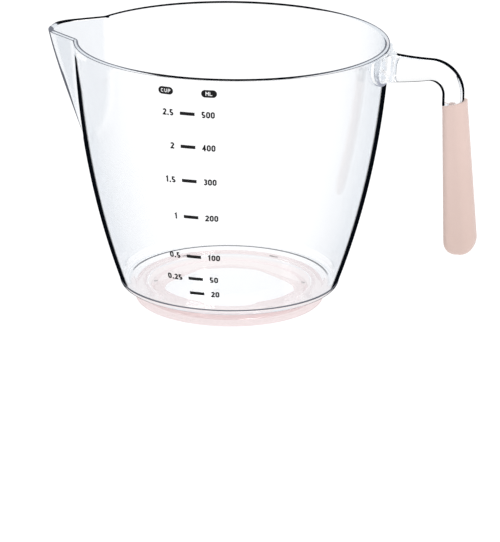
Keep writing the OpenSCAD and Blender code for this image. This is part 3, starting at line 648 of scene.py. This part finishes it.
def grip_section(z, inset, bottom):
    """The grip's section at a height, drawn in towards its lopsided round end."""
    down = (grip_top - z) / GRIP_LONG
    deep = GRIP_TOP_DEEP + (GRIP_END_DEEP - GRIP_TOP_DEEP) * down - 2 * inset
    wide = GRIP_TOP_WIDE + (GRIP_END_WIDE - GRIP_TOP_WIDE) * down - 2 * inset
    inner, outer = (end_share(z, bottom, r - inset) for r in (ROUND_IN, ROUND_OUT))
    middle = grip_x + (grip_top - z) * math.tan(LEAN)
    tip = (TIP_PLACE - 0.5) * deep
    low, high = tip - (tip + deep / 2) * inner, tip + (deep / 2 - tip) * outer
    points = rounded_section(deep, wide, GRIP_INNER - inset / 2, GRIP_OUTER - inset / 2)
    return [(middle + (low + high) / 2 + d * (high - low) / deep, a * (inner + outer) / 2, z)
            for d, a in points]


def grip_heights(bottom, end_round):
    """Heights down the grip, closer together where its end rounds off."""
    return (steps(grip_top - GRIP_FROM, bottom + end_round, 9)
            + [bottom + end_round * (1 - math.sin(math.radians(a)))
               for a in (8, 16, 24, 32, 40, 48, 56, 64, 71, 77, 82, 86, 88.5)])


tang_inset = SLEEVE + SLEEVE_GAP
tang_bottom = grip_bottom + TIP
rings.append([(grip_x + (UPRIGHT + d - grip_x) * NECK, a * NECK, on_slant(UPRIGHT + d))
              for d, a in arm_end])
tang_top = grip_section(grip_top, tang_inset, tang_bottom)
rings.append([(x, y, on_slant(x)) for x, y, z in tang_top])
rings += [grip_section(z, tang_inset, tang_bottom)
          for z in grip_heights(tang_bottom, ROUND_OUT - tang_inset)]
edges += [EDGE_ARM] * (len(rings) - len(edges))
pales += [0.0] * (len(rings) - len(pales))
arm = closed_skin("arm_and_pad", rings, clear, edge=edges, pale=pales)
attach(arm, "root")
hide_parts("handle_arm")

# The grip is a sleeve of soft pale pink rubber, moulded with a satin skin. It is pushed up the
# arm's tang and covers its end.
PINK_DEEP, PINK_LIGHT, LOW_SHADE_TONE = (
    (0.74, 0.565, 0.51, 1), (0.77, 0.595, 0.54, 1), (0.92, 0.915, 0.905, 1))
TONE_FROM, TONE_FULL, TOP_ROUND = 0.065, 0.025, 0.0003
pink = bpy.data.materials.new("soft_pink_rubber")
pink.use_nodes = True
tree = pink.node_tree
tree.nodes.clear()
where = add_node(tree, "ShaderNodeTexCoord")
cloudy = add_node(tree, "ShaderNodeTexNoise", {
    "Vector": where.outputs["Object"], "Scale": 90.0, "Detail": 3.0, "Roughness": 0.6})
tint = add_node(tree, "ShaderNodeMixRGB", {0: cloudy.outputs[0], 1: PINK_DEEP, 2: PINK_LIGHT})
# The rubber is painted a little darker towards its round end, as shade on its lower part
place = add_node(tree, "ShaderNodeSeparateXYZ", {0: where.outputs["Object"]})
lower = add_node(tree, "ShaderNodeMapRange", {
    0: place.outputs["Z"], 1: TONE_FROM, 2: TONE_FULL, 3: 0, 4: 1}, clamp=True)
low_shade = add_node(tree, "ShaderNodeMixRGB", {0: lower.outputs[0], 1: (1, 1, 1, 1), 2: LOW_SHADE_TONE})
tint = add_node(tree, "ShaderNodeMixRGB", {0: 1.0, 1: tint.outputs[0], 2: low_shade.outputs[0]},
                blend_type="MULTIPLY")
grain = add_node(tree, "ShaderNodeTexNoise", {
    "Vector": where.outputs["Object"], "Scale": 4200.0, "Detail": 2.0, "Roughness": 0.5})
dents = add_node(tree, "ShaderNodeBump", {
    "Strength": 0.12, "Distance": 0.00005, "Height": grain.outputs[0]})
rubber = add_node(tree, "ShaderNodeBsdfPrincipled", {
    "Base Color": tint.outputs[0], "Roughness": 0.55, "IOR": 1.45,
    "Specular IOR Level": 0.35, "Sheen Weight": 0.08, "Normal": dents.outputs[0]})
add_node(tree, "ShaderNodeOutputMaterial", {0: rubber.outputs[0]})

top_out = grip_section(grip_top, 0, grip_bottom)
top_in = grip_section(grip_top, SLEEVE, grip_bottom)
bore_bottom = tang_bottom - SLEEVE_GAP
rings = [grip_section(z, 0, grip_bottom) for z in grip_heights(grip_bottom, ROUND_OUT)[::-1]]
for share, drop in ((0, 3), (0, 1), (0.07, 0.3), (0.22, 0), (0.78, 0), (0.93, 0.3), (1, 1)):
    across = [mixed(p, q, share) for p, q in zip(top_out, top_in)]
    rings.append([(x, y, on_slant(x, TOP_ROUND * drop)) for x, y, z in across])
rings += [grip_section(z, SLEEVE, bore_bottom)
          for z in grip_heights(bore_bottom, ROUND_OUT - SLEEVE)]
grip = closed_skin("soft_grip", rings, pink)
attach(grip, "root")
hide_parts("grip_sleeve")

# The base ring is the same soft pink in a clearer, almost milky grade. It is moulded with a
# groove, pressed onto the rib under the floor, and has a small step round its outside.
RING = dict(outer_radius=0.0335, hole_radius=0.025, height=0.00438, groove_inner=0.0286,
            groove_outer=0.0314, groove_depth=0.0026, step_height=0.0017, step_depth=0.00035,
            bottom_round=0.001, edge_round=0.0003, small_round=0.0002)


def soft_corner(corner, before, after, size, count=4):
    """Points that round off a corner of a profile, from the side before it to the side after."""
    def towards(other):
        d = Vector(other) - Vector(corner)
        return Vector(corner) + d.normalized() * size
    a, b = towards(before), towards(after)
    return [tuple(bow(t, u, v, w) for u, v, w in zip(a, corner, b)) for t in steps(0, 1, count)]


R = RING
corners = [(R["hole_radius"], 0), (R["outer_radius"], 0),
           (R["outer_radius"], R["step_height"]),
           (R["outer_radius"] - R["step_depth"], R["step_height"] + R["step_depth"]),
           (R["outer_radius"] - R["step_depth"], R["height"]),
           (R["groove_outer"], R["height"]), (R["groove_outer"], R["height"] - R["groove_depth"]),
           (R["groove_inner"], R["height"] - R["groove_depth"]), (R["groove_inner"], R["height"]),
           (R["hole_radius"], R["height"])]
# How each corner is rounded, in the same order
rounds = ["edge", "bottom"] + ["small"] * 2 + ["edge"] * 2 + ["small"] * 2 + ["edge"] * 2
profile = []
for i, (corner, kind) in enumerate(zip(corners, rounds)):
    profile += soft_corner(corner, corners[i - 1], corners[(i + 1) % len(corners)],
                           R[kind + "_round"])
# It goes back to its start, and is turned round so that it runs outwards along the top
profile = (profile + profile[:1])[::-1]

# The ring's horizontal streaks of deeper and lighter pink are painted in place of light reflected
# inside the rubber, and a share of its colour is a painted glow (MILK_GLOW) in place of light
# scattered through it
STREAKS, MILK_DEEP, MILK_LIGHT, MILK_CLEAR = (
    (30, 30, 2200), (0.92, 0.70, 0.70, 1), (0.98, 0.87, 0.87, 1), (1, 0.955, 0.955, 1))
MILK_SHARE, MILK_LEAST, MILK_STEEP, MILK_GLOW, LIGHT_PASSED = 0.6, 0.25, 0.35, 0.8, 0.8
milky = bpy.data.materials.new("milky_pink_rubber")
milky.use_nodes = True
tree = milky.node_tree
tree.nodes.clear()
where = add_node(tree, "ShaderNodeTexCoord")
streaks = add_node(tree, "ShaderNodeMapping", {0: where.outputs["Object"], "Scale": STREAKS})
lines = add_node(tree, "ShaderNodeTexNoise", {
    "Vector": streaks.outputs[0], "Scale": 1.0, "Detail": 2.0, "Roughness": 0.6})
tint = add_node(tree, "ShaderNodeMixRGB", {0: lines.outputs[0], 1: MILK_DEEP, 2: MILK_LIGHT})
soft = add_node(tree, "ShaderNodeBsdfPrincipled", {
    "Base Color": tint.outputs[0], "Roughness": 0.35, "IOR": 1.41})
ring_glow = add_node(tree, "ShaderNodeEmission", {"Color": tint.outputs[0], "Strength": MILK_GLOW})
milk = add_node(tree, "ShaderNodeMixShader", {0: MILK_SHARE, 1: soft.outputs[0],
                                              2: ring_glow.outputs[0]})
passing = add_node(tree, "ShaderNodeBsdfTransparent", {"Color": MILK_CLEAR})
facing = add_node(tree, "ShaderNodeLayerWeight", {"Blend": 0.5})
steep = Field(tree, facing.outputs["Facing"])
path = add_node(tree, "ShaderNodeLightPath")
through = greater(Field(tree, path.outputs["Is Shadow Ray"]),
                  Field(tree, path.outputs["Is Diffuse Ray"]))
thickness = (MILK_LEAST + steep * steep * MILK_STEEP) * (1 - through * LIGHT_PASSED)
both = add_node(tree, "ShaderNodeMixShader", {0: thickness, 1: passing.outputs[0],
                                              2: milk.outputs[0]})
add_node(tree, "ShaderNodeOutputMaterial", {0: both.outputs[0]})

# The tree takes the profile in shares of the ring's radius and height, which are its own inputs
sizes = dict(outer_radius=R["outer_radius"], height=R["height"])
shares = [(r / R["outer_radius"], z / R["height"]) for r, z in profile]
tree, entry, size = new_tree("base ring", sizes)
sheet, turn, radius, z = turned_sheet(tree, entry, len(shares), spread=0.0)[:4]
end_tree(tree, entry, set_round(tree, sheet, turn, radius * size["outer_radius"],
                                z * size["height"]))
ring = stations_piece("soft_ring", shares)
run_tree(ring, tree, sizes, milky)
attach(ring, "root")
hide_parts("base_ring")

# The scale is printed in one pass of black ink on the outside of the wall: a bar and its numbers
# at each mark, and the two units in rounded badges above.
ink = bpy.data.materials.new("black_ink")
ink.use_nodes = True
tree = ink.node_tree
tree.nodes.clear()
where = add_node(tree, "ShaderNodeTexCoord")
speck = add_node(tree, "ShaderNodeTexNoise", {
    "Vector": where.outputs["Object"], "Scale": 2500.0, "Detail": 2.0})
tone = add_node(tree, "ShaderNodeMixRGB", {
    0: speck.outputs[0], 1: (0.003, 0.003, 0.003, 1), 2: (0.008, 0.008, 0.009, 1)})
print_coat = add_node(tree, "ShaderNodeBsdfPrincipled", {
    "Base Color": tone.outputs[0], "Roughness": 0.6, "Specular IOR Level": 0.15})
add_node(tree, "ShaderNodeOutputMaterial", {0: print_coat.outputs[0]})
for name in ("scale_bars", "millilitre_numbers", "cup_numbers", "unit_badges"):
    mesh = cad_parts[name].data
    mesh.materials.clear()
    mesh.materials.append(ink)

# The floor is a plain white table top, and the light is soft and plain from all round. Only what
# the camera sees directly or through the plastic is lifted to white.
TABLE_HALF, TABLE_TONE, TABLE_GLOW = 9, (0.45, 0.45, 0.46, 1), 0.72
floor_mesh = bpy.data.meshes.new("table")
floor_mesh.from_pydata([(x * TABLE_HALF, y * TABLE_HALF, 0)
                        for x, y in ((-1, -1), (1, -1), (1, 1), (-1, 1))], [], [(0, 1, 2, 3)])
floor = bpy.data.objects.new("table", floor_mesh)
bpy.context.collection.objects.link(floor)
table = bpy.data.materials.new("table")
table.use_nodes = True
tree = table.node_tree
tree.nodes.clear()
cloth = add_node(tree, "ShaderNodeBsdfDiffuse", {"Color": TABLE_TONE})
glow = add_node(tree, "ShaderNodeEmission", {"Color": (1, 1, 1, 1), "Strength": TABLE_GLOW})
total = add_node(tree, "ShaderNodeAddShader", {0: cloth.outputs[0], 1: glow.outputs[0]})
add_node(tree, "ShaderNodeOutputMaterial", {0: total.outputs[0]})
floor_mesh.materials.append(table)

ROOM_LIGHT = 0.55
world = bpy.data.worlds.new("studio")
bpy.context.scene.world = world
world.use_nodes = True
tree = world.node_tree
tree.nodes.clear()
path = add_node(tree, "ShaderNodeLightPath")
seen = greater(greater(Field(tree, path.outputs["Is Camera Ray"]),
                       Field(tree, path.outputs["Is Glossy Ray"])),
               Field(tree, path.outputs["Is Transmission Ray"]))
soft = add_node(tree, "ShaderNodeBackground", {"Color": (1, 1, 1, 1), "Strength": ROOM_LIGHT})
white = add_node(tree, "ShaderNodeBackground", {"Color": (1, 1, 1, 1), "Strength": 1.0})
sky = add_node(tree, "ShaderNodeMixShader", {0: seen, 1: soft.outputs[0], 2: white.outputs[0]})
add_node(tree, "ShaderNodeOutputWorld", {0: sky.outputs[0]})


def lamp(name, place, power):
    """A round soft lamp turned towards the jug."""
    light = bpy.data.lights.new(name, "AREA")
    light.shape, light.size, light.energy = "DISK", LAMP_SIZE, power
    thing = bpy.data.objects.new(name, light)
    bpy.context.collection.objects.link(thing)
    thing.location = place
    thing.rotation_euler = (AIM - Vector(place)).to_track_quat("-Z", "Y").to_euler()


LAMP_SIZE = 0.9
lamp("lamp_right", (1.1, -1.0, 1.3), 12)
lamp("lamp_left", (-1.3, -0.6, 1.1), 4)
lamp("lamp_back", (0.1, 1.4, 1.4), 5)
bpy.context.scene.view_settings.view_transform = "Standard"
